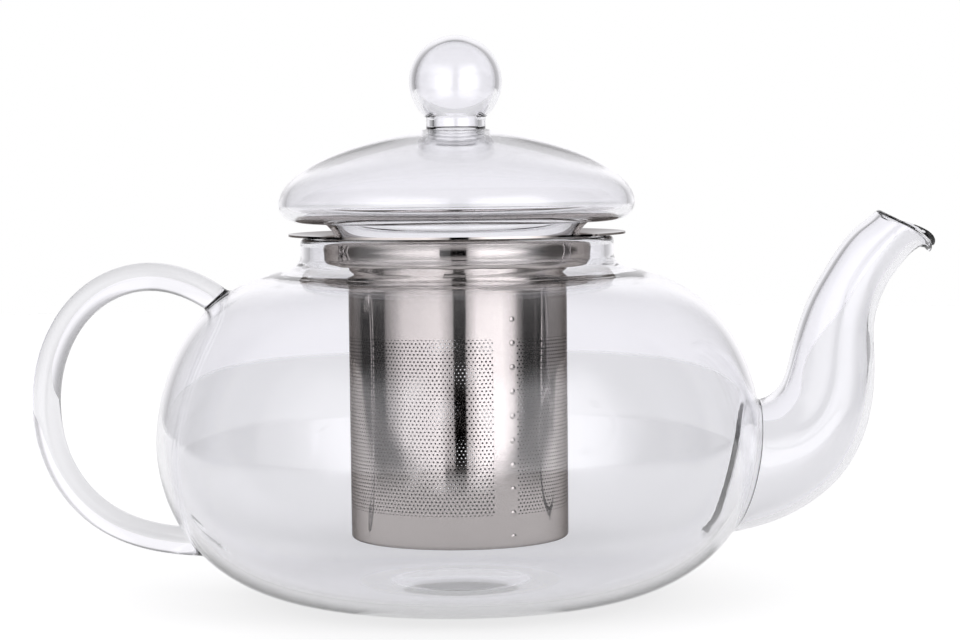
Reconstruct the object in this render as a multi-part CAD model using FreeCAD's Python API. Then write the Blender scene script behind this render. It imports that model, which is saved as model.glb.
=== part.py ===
"""Glass teapot with a steel infuser and a glass lid, all sizes in millimetres.

The origin is on the bowl's axis, in the plane of the table. +Z is up, +X points
towards the spout, and the handle is on the -X side. The body is blown glass with a
welded neck, spout and handle. The infuser hangs by its flange on the neck's rim,
and the lid's skirt stands on the ledge inside the infuser's collar.
"""
import FreeCAD, Part
import math
import os

# --- driving dimensions: bowl -----------------------------------------------------
BOWL_RADIUS = 72.5          # at the widest
BELLY_HEIGHT = 39.0         # of the widest ring above the table
SHOULDER_HEIGHT = 79.1      # where the shoulder ends and the neck weld begins
SHOULDER_SLOPE = 12.0       # degrees below level at the shoulder's inner end
FOOT_RADIUS = 24.5          # outer edge of the flat ring that the pot stands on
PUNT_RADIUS = 17.0          # inner edge of that ring
PUNT_RISE = 1.2             # how far the base is pushed up in the middle
BOWL_WALL = 2.0
FLOOR_WALL = 2.4
PUNT_FLATNESS = 0.8         # how far out the base stays near level, 0 to 1
UNDERSIDE_FULLNESS = 0.92   # how far the foot's level run reaches out, 0 to 1
LOWER_SIDE_FULLNESS = 0.22
UPPER_SIDE_FULLNESS = 0.20
SHOULDER_FULLNESS = 0.90

# --- driving dimensions: neck ------------------------------------------------------
NECK_RADIUS = 37.5
NECK_WALL = 2.2
NECK_RISE = 8.45            # from the shoulder's end up to the rim
NECK_WELD_RISE = 4.4        # of the thick weld ring above the shoulder's end
NECK_WELD_REACH = 6.4       # how far the weld ring spreads beyond the neck
NECK_WELD_SWEEP = 0.65      # how far the ring follows the shoulder, 0 to 1
NECK_WELD_HOLLOW = 0.57     # how far the ring follows the neck, 0 to 1
NECK_WELD_BULGE = 2.6       # how far the wall inside the ring is carried up, for an even wall

# --- driving dimensions: spout -----------------------------------------------------
SPOUT_WALL = 1.7
SPOUT_WELD = 1.5            # leg of the glass fillet around the spout's root
# centre line out from the widest ring and up from its height, degrees above level, radius
SPOUT_SECTIONS = (
    (-12.5, -6.5, 4.0, 17.2),
    (-0.5, -5.4, 18.0, 15.6),
    (9.3, -1.0, 43.0, 13.4),
    (15.5, 8.2, 68.0, 11.4),
    (17.5, 19.6, 83.0, 10.0),
    (19.1, 28.6, 74.0, 8.6),
    (22.5, 36.8, 62.0, 7.5),
    (28.1, 44.9, 51.0, 7.05),
)
MOUTH_CENTRE = (35.5, 49.9)  # out and up, as in the sections
MOUTH_TILT = 56.5           # degrees above level of the way that the mouth faces
MOUTH_HALF_LENGTH = 8.1
MOUTH_HALF_WIDTH = 6.9
MOUTH_PLUG = 1.0            # how far the tool that opens the mouth sticks out of it

# --- driving dimensions: handle ----------------------------------------------------
HANDLE_ROD_RADIUS = 3.4
HANDLE_WELD = 1.2           # how far each weld stands out around the rod and the bowl
HANDLE_TOP_INSET = 12.5     # from the widest ring in to where the rod meets the shoulder
HANDLE_FOOT_INSET = 7.5     # from the widest ring in to where it meets the lower side
# centre line, out and up from where the rod meets the shoulder, starting inside the glass
HANDLE_TOP_RUN = ((-8.0, -2.3), (1.8, 4.7), (13.8, 7.9), (26.6, 3.9), (35.6, -7.0))
# its outermost point: out from the widest ring, and up from midway between the two ends
HANDLE_GRIP = (26.4, 4.3)
# centre line, out and up from where the rod meets the lower side, ending inside the glass
HANDLE_FOOT_RUN = ((30.4, 16.4), (21.5, 5.7), (9.5, 0.2), (-5.0, -1.6))

# --- driving dimensions: infuser ---------------------------------------------------
STEEL_SHEET = 0.5           # flange and collar
BASKET_SHEET = 0.4          # perforated tube and its bottom
FLANGE_OVERHANG = 2.85      # of the flange beyond the neck
FLANGE_DISH = 6.0           # degrees that the flange falls towards the middle
COLLAR_GAP = 3.0            # between the neck's bore and the collar
COLLAR_TAPER = 0.8          # how much smaller in radius the collar is at its ledge
COLLAR_DEPTH = 9.3          # from the flange's edge down to the ledge's underside
COLLAR_BEND = 1.2           # outer radius of the sheet's bends
LEDGE_WIDTH = 6.15          # from the collar's top radius in to the basket
BASKET_FLOOR_HEIGHT = 14.6  # of the basket's underside above the table
BASKET_TOP_LIP = 0.6        # how far the tube stands above the ledge
CAP_RIM_HEIGHT = 3.2        # upturned rim of the basket's bottom
SEAT_GAP = 0.1              # left between pieces that only rest on each other

# --- driving dimensions: lid -------------------------------------------------------
LID_OVERHANG = 2.25         # of the lid beyond the flange
LID_TURN_UNDER = 6.4        # from the lid's widest ring in to where its underside is level
LID_RIM_RISE = 7.0          # from the flange's edge up to the lid's widest ring
LID_DOME_RISE = 17.7        # from the widest ring to the foot of the knob's neck
LID_WALL = 1.8
LID_UNDER_RISE = 2.6        # from the flange's edge up to the lid's underside
DOME_TOP_RUN = 0.475        # how far out the top of the dome runs on, 0 to 1
DOME_TOP_FALL = 0.135       # how far it falls on the way, 0 to 1
DOME_SIDE_RISE = 0.46       # how far up the dome's side stays steep, 0 to 1
RIM_SIDE_FALL = 0.63        # how far down the rim's side stays steep, 0 to 1
RIM_UNDER_RUN = 0.6         # how far out the underside stays level, 0 to 1
SKIRT_CLEARANCE = 1.4       # between the skirt's foot and the collar
SKIRT_DRAW = 1.4            # from the skirt's foot in to the pull of its waist
SKIRT_FLARE = 3.8           # from the pull of its waist out to its top
SKIRT_WAIST_RISE = 0.2      # of the waist's pull above the flange's edge
SKIRT_WALL = 1.8
KNOB_RADIUS = 11.1
KNOB_NECK_RADIUS = 7.1
KNOB_NECK_HEIGHT = 2.8
KNOB_WALL = 1.5

# --- derived radii and heights -----------------------------------------------------
SHOULDER_RADIUS = NECK_RADIUS + NECK_WELD_REACH
NECK_HEIGHT = SHOULDER_HEIGHT + NECK_RISE
NECK_BORE = NECK_RADIUS - NECK_WALL
RIM_CREST_RADIUS = NECK_RADIUS - NECK_WALL / 2
FLANGE_RADIUS = NECK_RADIUS + FLANGE_OVERHANG
DISH = math.tan(math.radians(FLANGE_DISH))
FLANGE_HEIGHT = NECK_HEIGHT + SEAT_GAP + STEEL_SHEET + (FLANGE_RADIUS - RIM_CREST_RADIUS) * DISH
LEDGE_HEIGHT = FLANGE_HEIGHT - COLLAR_DEPTH
COLLAR_RADIUS = NECK_BORE - COLLAR_GAP
COLLAR_FOOT_RADIUS = COLLAR_RADIUS - COLLAR_TAPER
BASKET_RADIUS = COLLAR_RADIUS - LEDGE_WIDTH
LID_RADIUS = FLANGE_RADIUS + LID_OVERHANG
LID_RIM_HEIGHT = FLANGE_HEIGHT + LID_RIM_RISE
LID_UNDER_HEIGHT = FLANGE_HEIGHT + LID_UNDER_RISE
LID_TOP_HEIGHT = LID_RIM_HEIGHT + LID_DOME_RISE
SKIRT_FOOT_RADIUS = COLLAR_FOOT_RADIUS - STEEL_SHEET - SKIRT_CLEARANCE
SKIRT_WAIST_RADIUS = SKIRT_FOOT_RADIUS - SKIRT_DRAW
SKIRT_TOP_RADIUS = SKIRT_WAIST_RADIUS + SKIRT_FLARE
SKIRT_FOOT_HEIGHT = LEDGE_HEIGHT + STEEL_SHEET + SEAT_GAP


def point(r, z):
    return FreeCAD.Vector(r, 0, z)


def line(a, b):
    return Part.makeLine(point(*a), point(*b))


def curve(a, b, c, d):
    bezier = Part.BezierCurve()
    bezier.setPoles([point(*a), point(*b), point(*c), point(*d)])
    return bezier.toShape()


def rounded(corners, radii):
    """Straight runs from corner to corner, each inner corner turned on its own radius."""
    points = [point(*corner) for corner in corners]
    edges = []
    last = points[0]
    for before, corner, after, radius in zip(points, points[1:], points[2:], radii):
        back = (before - corner).normalize()
        on = (after - corner).normalize()
        half = back.getAngle(on) / 2
        first = corner + back * (radius / math.tan(half))
        second = corner + on * (radius / math.tan(half))
        middle = corner + (back + on).normalize() * (radius / math.sin(half) - radius)
        edges.append(Part.makeLine(last, first))
        edges.append(Part.Arc(first, middle, second).toShape())
        last = second
    edges.append(Part.makeLine(last, points[-1]))
    return edges


def lathe(edges):
    """Turn a closed outline in the XZ plane about the Z axis."""
    wire = Part.Wire(Part.__sortEdges__(edges))
    solid = Part.Face(wire).revolve(FreeCAD.Vector(0, 0, 0), FreeCAD.Vector(0, 0, 1), 360)
    return solid.Solids[0] if solid.Solids else Part.Solid(solid)


def save(name, shape):
    if not shape.isValid():
        raise ValueError(name + " is not a valid shape")
    solids = shape.Solids
    kept = solids[0] if len(solids) == 1 else Part.makeCompound(solids)
    kept.exportStep("parts/" + name + ".step")
    print(name, "solids", len(solids), "volume", round(kept.Volume, 1))


# --- bowl --------------------------------------------------------------------------
def bowl_outline(inset, floor):
    """Foot, belly and shoulder as two curves, moved in by inset and up by floor."""
    slope = math.radians(SHOULDER_SLOPE)
    foot = (FOOT_RADIUS, floor)
    belly = (BOWL_RADIUS - inset, BELLY_HEIGHT)
    end = (SHOULDER_RADIUS - inset * math.sin(slope), SHOULDER_HEIGHT - inset * math.cos(slope))
    out_run = (belly[0] - foot[0]) * UNDERSIDE_FULLNESS
    down_run = (belly[1] - foot[1]) * LOWER_SIDE_FULLNESS
    up_run = (end[1] - belly[1]) * UPPER_SIDE_FULLNESS
    shoulder_run = (belly[0] - end[0]) * SHOULDER_FULLNESS
    shoulder = (end[0] + shoulder_run * math.cos(slope), end[1] - shoulder_run * math.sin(slope))
    lower = curve(foot, (foot[0] + out_run, foot[1]), (belly[0], belly[1] - down_run), belly)
    upper = curve(belly, (belly[0], belly[1] + up_run), shoulder, end)
    return foot, lower, upper, end


def make_bowl():
    foot, lower, upper, end = bowl_outline(0, 0)
    foot_in, lower_in, upper_in, end_in = bowl_outline(BOWL_WALL, FLOOR_WALL)
    ring = (PUNT_RADIUS, 0)
    punt = (0, PUNT_RISE)
    punt_in = (0, PUNT_RISE + FLOOR_WALL)
    under = curve(punt, (PUNT_RADIUS / 2, PUNT_RISE), (PUNT_RADIUS * PUNT_FLATNESS, 0), ring)
    over = curve(punt_in, (FOOT_RADIUS / 2, punt_in[1]),
                 (FOOT_RADIUS * PUNT_FLATNESS, foot_in[1]), foot_in)
    return lathe([line(punt, punt_in), over, lower_in, upper_in, line(end_in, end), upper, lower,
                  line(foot, ring), under])


def bowl_filled(stand_out):
    """The bowl as a solid block, a little larger by stand_out, to cut what meets it."""
    foot, lower, upper, end = bowl_outline(-stand_out, -stand_out)
    return lathe([line((0, foot[1]), foot), lower, upper, line(end, (0, end[1])),
                  line((0, end[1]), (0, foot[1]))])


def make_neck_weld():
    """The thick ring where the neck's tube was fused to the shoulder."""
    slope = math.radians(SHOULDER_SLOPE)
    _, _, _, low = bowl_outline(0, 0)
    _, _, _, low_in = bowl_outline(BOWL_WALL, FLOOR_WALL)
    top = (NECK_RADIUS, SHOULDER_HEIGHT + NECK_WELD_RISE)
    top_in = (NECK_BORE, top[1])
    run = NECK_WELD_REACH * NECK_WELD_SWEEP
    sweep = curve(low, (low[0] - run * math.cos(slope), low[1] + run * math.sin(slope)),
                  (NECK_RADIUS, top[1] - NECK_WELD_RISE * NECK_WELD_HOLLOW), top)
    inside = curve(low_in, (low_in[0] - run, low_in[1]), (NECK_BORE, low_in[1] + NECK_WELD_BULGE), top_in)
    return lathe([line(low, low_in), inside, line(top_in, top), sweep])


def make_neck():
    """A short tube with a fire-polished, rounded rim."""
    base = SHOULDER_HEIGHT + NECK_WELD_RISE
    round_from = NECK_HEIGHT - NECK_WALL / 2
    rim = Part.Arc(point(NECK_BORE, round_from), point(RIM_CREST_RADIUS, NECK_HEIGHT),
                   point(NECK_RADIUS, round_from)).toShape()
    return lathe([line((NECK_BORE, base), (NECK_BORE, round_from)), rim,
                  line((NECK_RADIUS, round_from), (NECK_RADIUS, base)),
                  line((NECK_RADIUS, base), (NECK_BORE, base))])


# --- spout -------------------------------------------------------------------------
def section(out, up, tilt, half_long, half_wide):
    """A closed ellipse, out and up from the widest ring, that faces tilt degrees above level."""
    a = math.radians(tilt)
    normal = FreeCAD.Vector(math.cos(a), 0, math.sin(a))
    upright = FreeCAD.Vector(-math.sin(a), 0, math.cos(a))
    placing = FreeCAD.Placement(point(BOWL_RADIUS + out, BELLY_HEIGHT + up), FreeCAD.Rotation(
        upright, normal.cross(upright), normal, "ZXY"))
    turned = math.isclose(half_long, half_wide)
    flat = Part.Circle(FreeCAD.Vector(), FreeCAD.Vector(0, 0, 1), half_long) if turned else \
        Part.Ellipse(FreeCAD.Vector(), half_long, half_wide)
    wire = Part.Wire([flat.toShape()])
    wire.Placement = placing
    return wire


def mouth(grow):
    return section(*MOUTH_CENTRE, MOUTH_TILT, MOUTH_HALF_LENGTH + grow, MOUTH_HALF_WIDTH + grow)


def spout_block(grow):
    """The spout as a solid horn, its radii changed by grow."""
    wires = [section(out, up, tilt, r + grow, r + grow) for out, up, tilt, r in SPOUT_SECTIONS]
    return Part.makeLoft(wires + [mouth(grow)], True, False)


def mouth_opener():
    """A short plug that carries the spout's bore out through the mouth's rim."""
    a = math.radians(MOUTH_TILT)
    out = FreeCAD.Vector(math.cos(a), 0, math.sin(a)) * MOUTH_PLUG
    return Part.Face(mouth(-SPOUT_WALL)).extrude(out)


def make_spout():
    bore = spout_block(-SPOUT_WALL)
    return spout_block(0).cut(bore).cut(mouth_opener()).cut(bowl_filled(0))


def weld_around(block, thicker_block, leg):
    """The glass fillet in the corner between the bowl and a piece that is fused to it."""
    return thicker_block.common(bowl_filled(leg)).cut(bowl_filled(0)).cut(block)


# --- handle ------------------------------------------------------------------------
def height_on(side, radius):
    """How high one side of the bowl's outline is at a radius."""
    plumb = Part.makeLine(point(radius, -BOWL_RADIUS), point(radius, SHOULDER_HEIGHT + BOWL_RADIUS))
    return plumb.distToShape(side)[1][0][0].z


def handle_points():
    _, lower, upper, _ = bowl_outline(0, 0)
    top = BOWL_RADIUS - HANDLE_TOP_INSET
    foot = BOWL_RADIUS - HANDLE_FOOT_INSET
    top_z = height_on(upper, top)
    foot_z = height_on(lower, foot)
    grip = (BOWL_RADIUS + HANDLE_GRIP[0], (top_z + foot_z) / 2 + HANDLE_GRIP[1])
    places = [(top + out, top_z + up) for out, up in HANDLE_TOP_RUN]
    places.append(grip)
    places += [(foot + out, foot_z + up) for out, up in HANDLE_FOOT_RUN]
    return [point(-r, z) for r, z in places]


def handle_rod(radius):
    path = Part.BSplineCurve()
    path.interpolate(handle_points())
    start = path.value(path.FirstParameter)
    along = path.tangent(path.FirstParameter)[0]
    profile = Part.Wire([Part.Circle(start, along, radius).toShape()])
    return Part.Wire([path.toShape()]).makePipeShell([profile], True, False)


# --- infuser -----------------------------------------------------------------------
def make_infuser_collar():
    """One pressed sheet: the dished flange, the collar and the ledge that holds the basket."""
    t = STEEL_SHEET
    bend = COLLAR_BEND
    drop = (FLANGE_RADIUS - COLLAR_RADIUS) * DISH
    outside = rounded([(FLANGE_RADIUS, FLANGE_HEIGHT - t), (COLLAR_RADIUS, FLANGE_HEIGHT - t - drop),
                       (COLLAR_FOOT_RADIUS, LEDGE_HEIGHT), (BASKET_RADIUS, LEDGE_HEIGHT)],
                      [bend, bend])
    inside = rounded([(FLANGE_RADIUS, FLANGE_HEIGHT), (COLLAR_RADIUS - t, FLANGE_HEIGHT - drop - t * DISH),
                      (COLLAR_FOOT_RADIUS - t, LEDGE_HEIGHT + t), (BASKET_RADIUS, LEDGE_HEIGHT + t)],
                     [bend + t, bend - t])
    ends = [line((FLANGE_RADIUS, FLANGE_HEIGHT - t), (FLANGE_RADIUS, FLANGE_HEIGHT)),
            line((BASKET_RADIUS, LEDGE_HEIGHT), (BASKET_RADIUS, LEDGE_HEIGHT + t))]
    return lathe(outside + inside + ends)


def make_infuser_tube():
    """The basket's wall, with the small holes left out."""
    top = LEDGE_HEIGHT + STEEL_SHEET + BASKET_TOP_LIP
    outer = Part.makeCylinder(BASKET_RADIUS, top - BASKET_FLOOR_HEIGHT, point(0, BASKET_FLOOR_HEIGHT))
    inner = Part.makeCylinder(BASKET_RADIUS - BASKET_SHEET, top - BASKET_FLOOR_HEIGHT,
                              point(0, BASKET_FLOOR_HEIGHT))
    return outer.cut(inner)


def make_infuser_bottom():
    """A shallow cap pushed into the tube, with its rim turned up."""
    r = BASKET_RADIUS - BASKET_SHEET
    t = BASKET_SHEET
    cap = Part.makeCylinder(r, CAP_RIM_HEIGHT, point(0, BASKET_FLOOR_HEIGHT))
    hollow = Part.makeCylinder(r - t, CAP_RIM_HEIGHT, point(0, BASKET_FLOOR_HEIGHT + t))
    return cap.cut(hollow)


# --- lid ---------------------------------------------------------------------------
def lid_outline(inset):
    """Dome, rim and underside as three curves, moved into the glass by inset."""
    neck = (KNOB_NECK_RADIUS - inset, LID_TOP_HEIGHT - inset)
    widest = (LID_RADIUS - inset, LID_RIM_HEIGHT)
    under = (LID_RADIUS - LID_TURN_UNDER, LID_UNDER_HEIGHT + inset)
    drop = neck[1] - widest[1]
    dome = curve(neck, (neck[0] + (widest[0] - neck[0]) * DOME_TOP_RUN, neck[1] - drop * DOME_TOP_FALL),
                 (widest[0], widest[1] + drop * DOME_SIDE_RISE), widest)
    rim = curve(widest, (widest[0], widest[1] - (widest[1] - under[1]) * RIM_SIDE_FALL),
                (under[0] + (widest[0] - under[0]) * RIM_UNDER_RUN, under[1]), under)
    return neck, dome, rim, under


def make_lid_dome():
    """The blown dome, its hollow rim turned under as far as the skirt."""
    neck, dome, rim, under = lid_outline(0)
    neck_in, dome_in, rim_in, under_in = lid_outline(LID_WALL)
    stop = (SKIRT_TOP_RADIUS, LID_UNDER_HEIGHT)
    stop_in = (SKIRT_TOP_RADIUS, LID_UNDER_HEIGHT + LID_WALL)
    return lathe([dome, rim, line(under, stop), line(stop, stop_in), line(stop_in, under_in),
                  rim_in, dome_in, line(neck_in, (neck_in[0], neck[1])), line((neck_in[0], neck[1]), neck)])


def make_lid_skirt():
    """The tube under the lid: drawn in to a waist, then flared to stand on the ledge."""
    t = SKIRT_WALL
    top = LID_UNDER_HEIGHT
    foot = SKIRT_FOOT_HEIGHT
    waist = FLANGE_HEIGHT + SKIRT_WAIST_RISE
    outer = curve((SKIRT_TOP_RADIUS, top), (SKIRT_WAIST_RADIUS, waist),
                  (SKIRT_WAIST_RADIUS, (waist + foot) / 2), (SKIRT_FOOT_RADIUS, foot))
    inner = curve((SKIRT_TOP_RADIUS, top + LID_WALL), (SKIRT_WAIST_RADIUS - t, waist + t),
                  (SKIRT_WAIST_RADIUS - t, (waist + foot) / 2), (SKIRT_FOOT_RADIUS - t, foot))
    return lathe([outer, line((SKIRT_FOOT_RADIUS, foot), (SKIRT_FOOT_RADIUS - t, foot)), inner,
                  line((SKIRT_TOP_RADIUS, top + LID_WALL), (SKIRT_TOP_RADIUS, top))])


def make_lid_knob():
    """A hollow ball on a short neck, open to the inside of the dome."""
    base = LID_TOP_HEIGHT
    seat = math.sqrt(KNOB_RADIUS ** 2 - KNOB_NECK_RADIUS ** 2)
    centre = base + KNOB_NECK_HEIGHT + seat
    bore = KNOB_NECK_RADIUS - LID_WALL
    inner_radius = KNOB_RADIUS - KNOB_WALL
    inner_seat = math.sqrt(inner_radius ** 2 - bore ** 2)
    ball = Part.Arc(point(KNOB_NECK_RADIUS, centre - seat), point(KNOB_RADIUS, centre),
                    point(0, centre + KNOB_RADIUS)).toShape()
    hollow = Part.Arc(point(bore, centre - inner_seat), point(inner_radius, centre),
                      point(0, centre + inner_radius)).toShape()
    return lathe([line((bore, base), (KNOB_NECK_RADIUS, base)),
                  line((KNOB_NECK_RADIUS, base), (KNOB_NECK_RADIUS, centre - seat)), ball,
                  line((0, centre + KNOB_RADIUS), (0, centre + inner_radius)), hollow,
                  line((bore, centre - inner_seat), (bore, base))])


def main():
    os.makedirs("parts", exist_ok=True)
    bore = spout_block(-SPOUT_WALL)
    save("bowl", make_bowl().cut(bore))
    save("neck_weld", make_neck_weld())
    save("neck", make_neck())
    save("spout", make_spout())
    save("spout_weld", weld_around(spout_block(0), spout_block(SPOUT_WELD), SPOUT_WELD))
    rod = handle_rod(HANDLE_ROD_RADIUS)
    save("handle", rod.cut(bowl_filled(0)))
    beads = weld_around(rod, handle_rod(HANDLE_ROD_RADIUS + HANDLE_WELD), HANDLE_WELD)
    lower, upper = sorted(beads.Solids, key=lambda bead: bead.CenterOfMass.z)
    save("handle_weld_upper", upper)
    save("handle_weld_lower", lower)
    save("infuser_collar", make_infuser_collar())
    save("infuser_tube", make_infuser_tube())
    save("infuser_bottom", make_infuser_bottom())
    save("lid_dome", make_lid_dome())
    save("lid_skirt", make_lid_skirt())
    save("lid_knob", make_lid_knob())


main()
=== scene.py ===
"""The finished look of a blown-glass teapot with a steel infuser, in metres, around its fixed frame."""
import math

import bmesh
import bpy
import numpy as np
from mathutils import Matrix, Vector
from mathutils.geometry import delaunay_2d_cdt


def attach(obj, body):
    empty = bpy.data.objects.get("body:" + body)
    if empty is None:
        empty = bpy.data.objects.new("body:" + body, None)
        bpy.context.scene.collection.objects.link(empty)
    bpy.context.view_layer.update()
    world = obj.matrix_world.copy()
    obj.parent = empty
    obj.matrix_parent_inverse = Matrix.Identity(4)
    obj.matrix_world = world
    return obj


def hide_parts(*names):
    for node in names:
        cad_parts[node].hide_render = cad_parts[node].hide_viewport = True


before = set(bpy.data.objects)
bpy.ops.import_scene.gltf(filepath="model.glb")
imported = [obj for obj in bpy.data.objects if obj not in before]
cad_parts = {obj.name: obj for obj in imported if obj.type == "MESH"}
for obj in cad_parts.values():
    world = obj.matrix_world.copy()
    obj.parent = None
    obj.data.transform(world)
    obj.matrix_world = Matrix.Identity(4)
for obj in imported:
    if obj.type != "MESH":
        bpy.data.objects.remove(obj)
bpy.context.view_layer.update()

MM = 0.001
FULL_TURN = 2 * math.pi
SHARP_FROM = math.radians(40)     # edges that turn more than this show as creases
COLLAR_SHARP_FROM = math.radians(50)

# --- sizes of the bowl and neck, in millimetres until they reach a mesh
BOWL_RADIUS = 72.5
BELLY_HEIGHT = 39.0
SHOULDER_END = (43.9, 79.1)
SHOULDER_SLOPE = math.radians(12.0)
FOOT_RADIUS = 24.5
PUNT_RADIUS = 17.0
PUNT_RISE = 1.2
PUNT_FLATNESS = 0.8
BOWL_WALL = 2.0
FLOOR_WALL = 2.4
UNDERSIDE_FULLNESS = 0.92
LOWER_SIDE_FULLNESS = 0.22
UPPER_SIDE_FULLNESS = 0.20
SHOULDER_FULLNESS = 0.90
NECK_RADIUS = 37.5
NECK_WALL = 2.2
NECK_BORE = NECK_RADIUS - NECK_WALL
NECK_HEIGHT = 87.55
NECK_WELD_RISE = 4.4
NECK_WELD_REACH = 6.4
NECK_WELD_SWEEP = 0.65
NECK_WELD_HOLLOW = 0.57
NECK_WELD_BULGE = 2.6
WELD_MIDDLE = 79.0         # height of the uneven fused ring
WELD_SPREAD = 4.6
WELD_OUTER = 47.0
BEAD_PITCH = 2.7           # of the beads that run around the ring
BEAD_HEIGHT = 0.10
BEAD_SWAY = 1.3
DRIFT_HEIGHT = 0.05
# waves around, turn in each millimetre of height, start, share
DRIFT_WAVES = (
    (11, 1.9, 0.0, 1.0),
    (23, -2.3, 1.1, 0.7),
)
BOWL_AROUND = 192
HOLE_CLEARANCE = 0.4       # of a face's width, kept between a hole's edge and the points around it

# --- sizes of the spout
SPOUT_WALL = 1.7
SPOUT_FILLET = 1.5
SPOUT_ROOT_BEFORE = 0.45   # the part of its length within which the spout leaves the bowl
BORE_ROOT_BEFORE = 0.4
# centre x and z, degrees above level, radius
SPOUT_SECTIONS = (
    (60.0, 32.5, 4.0, 17.2),
    (72.0, 33.6, 18.0, 15.6),
    (81.8, 38.0, 43.0, 13.4),
    (88.0, 47.2, 68.0, 11.4),
    (90.0, 58.6, 83.0, 10.0),
    (91.6, 67.6, 74.0, 8.6),
    (95.0, 75.8, 62.0, 7.5),
    (100.6, 83.9, 51.0, 7.05),
)
# the pouring lip, outside and inside: upper x and z, lower x and z, half width
LIP_OUTSIDE = (
    (97.4, 90.2, 108.2, 81.9, 7.0),
    (99.4, 91.8, 110.2, 83.5, 6.95),
    (100.5, 92.6, 111.8, 83.9, 6.9),
    (101.1, 92.9, 113.2, 82.6, 6.8),
)
LIP_INSIDE = (
    (98.7, 89.1, 106.9, 83.0, 5.3),
    (100.6, 90.6, 109.3, 84.9, 5.25),
    (101.6, 91.4, 111.8, 85.6, 5.2),
    (102.2, 91.7, 114.2, 84.2, 5.2),
)
LIP_FROM = 0.8             # the part of the spout's length where the mouth begins to bulge
MOUTH_BULGE = 0.2
LIP_BULGE = 3.0
SPOUT_LENGTH = 85.0
SPOUT_AROUND = 72

# --- sizes of the handle
HANDLE_RADIUS = 3.4
HANDLE_FILLET = 1.2
HANDLE_ROOT_WITHIN = 0.2   # the part of its length at either end within which it leaves the bowl
HANDLE_LENGTH = 150.0
HANDLE_AROUND = 40
HANDLE_PATH = (
    (-52.0, 68.5),
    (-61.8, 75.5),
    (-73.8, 78.7),
    (-86.6, 74.7),
    (-95.6, 63.8),
    (-98.9, 47.8),
    (-95.4, 32.6),
    (-86.5, 21.9),
    (-74.5, 16.4),
    (-60.0, 14.6),
)

# --- sizes of the infuser
STEEL_SHEET = 0.5
BASKET_SHEET = 0.4
FLANGE_RADIUS = 40.35
FLANGE_DISH = math.tan(math.radians(6.0))
COLLAR_RADIUS = 32.3
COLLAR_TAPER = 0.8
COLLAR_DEPTH = 9.3
COLLAR_BEND = 1.2
BASKET_RADIUS = 26.15
BASKET_FLOOR = 14.6
BASKET_TOP_LIP = 0.6
BASKET_BEND = 0.9          # outer radius of the turn from the tube's wall into its floor
BAND_STAND_OUT = 0.02      # of the plain bands over the perforated sheet's ragged edges
COLUMNS = 164              # of holes around, had they no seam between them
ROW_RISE = 0.866           # from one row of holes to the next
FIRST_ROW = 22.9
ROWS = 49
HOLE_RADIUS = 0.245
SEAM_COLUMNS = 6           # left without holes for the weld
SEAM_START = math.radians(-71.5)
FLOOR_HOLES_RADIUS = 21.5
FLOOR_OVERLAP = 0.6        # of the solid floor's inner edge over the outermost holes' cells
FLOOR_INSET = 0.05         # of the perforated floor within the solid floor's thickness
FLOOR_CELLS_ACROSS = 54
CELL_MERGE = 0.02          # how close the cells' corners are before they are joined
FACE_MERGE = 0.005
WELD_SPOTS = 10
WELD_SPOT_RADIUS = 0.75
WELD_SPOT_HEIGHT = 0.16
WELD_SPOT_STEP = 5.75
WELD_SPOT_FOOT = 17.5
WELD_SPOT_ANGLE = math.radians(-61.5)
SEAT_GAP = 0.1
RIM_TO_EDGE = FLANGE_RADIUS - NECK_RADIUS + NECK_WALL / 2
FLANGE_HEIGHT = NECK_HEIGHT + SEAT_GAP + STEEL_SHEET + RIM_TO_EDGE * FLANGE_DISH
LEDGE_HEIGHT = FLANGE_HEIGHT - COLLAR_DEPTH

# --- sizes of the lid
LID_RADIUS = 42.6
LID_WALL = 1.8
LID_TURN_UNDER = 6.4
LID_RIM_HEIGHT = FLANGE_HEIGHT + 7.0
LID_TOP_HEIGHT = LID_RIM_HEIGHT + 17.7
LID_UNDER_HEIGHT = FLANGE_HEIGHT + 2.6
LID_TOP_REACH = 0.475
LID_TOP_DROP = 0.135
LID_SIDE_FULLNESS = 0.46
LID_RIM_FULLNESS = 0.63
LID_UNDER_FULLNESS = 0.6
SKIRT_TOP_RADIUS = 32.0
SKIRT_WAIST_RADIUS = 28.2
SKIRT_WAIST_HEIGHT = FLANGE_HEIGHT + 0.2
SKIRT_FOOT_RADIUS = 29.6
SKIRT_WALL = 1.8
SKIRT_FOOT_HEIGHT = LEDGE_HEIGHT + STEEL_SHEET + SEAT_GAP
KNOB_RADIUS = 11.1
KNOB_NECK_RADIUS = 7.1
KNOB_NECK_HEIGHT = 2.8
KNOB_WALL = 1.5
LID_AROUND = 160

# --- the studio: degrees to the right of the camera's side, and how bright that way is
SURROUNDINGS = (
    # behind the pot, left of the middle, and the gap beside it
    (-180, 1.04), (-166, 1.04), (-152, 0.55), (-134, 0.38), (-124, 0.16), (-121, 0.0),
    (-106, 0.0), (-104, 0.12), (-101, 0.12), (-99, 0.0), (-84, 0.02),
    # left box, the gap in front, right box
    (-80, 0.5), (-70, 0.9), (-58, 1.6), (-20, 2.0), (-10, 1.2), (-5.2, 0.8), (-4.8, 0.0),
    (8.0, 0.0), (8.5, 1.0), (20, 2.4), (46, 2.6), (58, 1.8), (66, 0.45),
    # the gap beside it, and behind the pot again
    (73, 0.02), (86, 0.0), (88, 0.14), (91, 0.0), (106, 0.0), (110, 0.38), (152, 0.55), (164, 1.04))
SURROUNDINGS_TINT = (0.985, 0.975, 1.0)
BRIGHTEST = 3.2            # the strength that a full colour stands for
THROUGH_LEAST = 0.30       # limits of what is seen of it straight through clear glass
THROUGH_MOST = 1.04
CEILING = 0.25
CEILING_FROM = 30          # degrees above level where the walls give way to the ceiling
CEILING_FULL = 52
TABLE_RADIUS = 860
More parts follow.
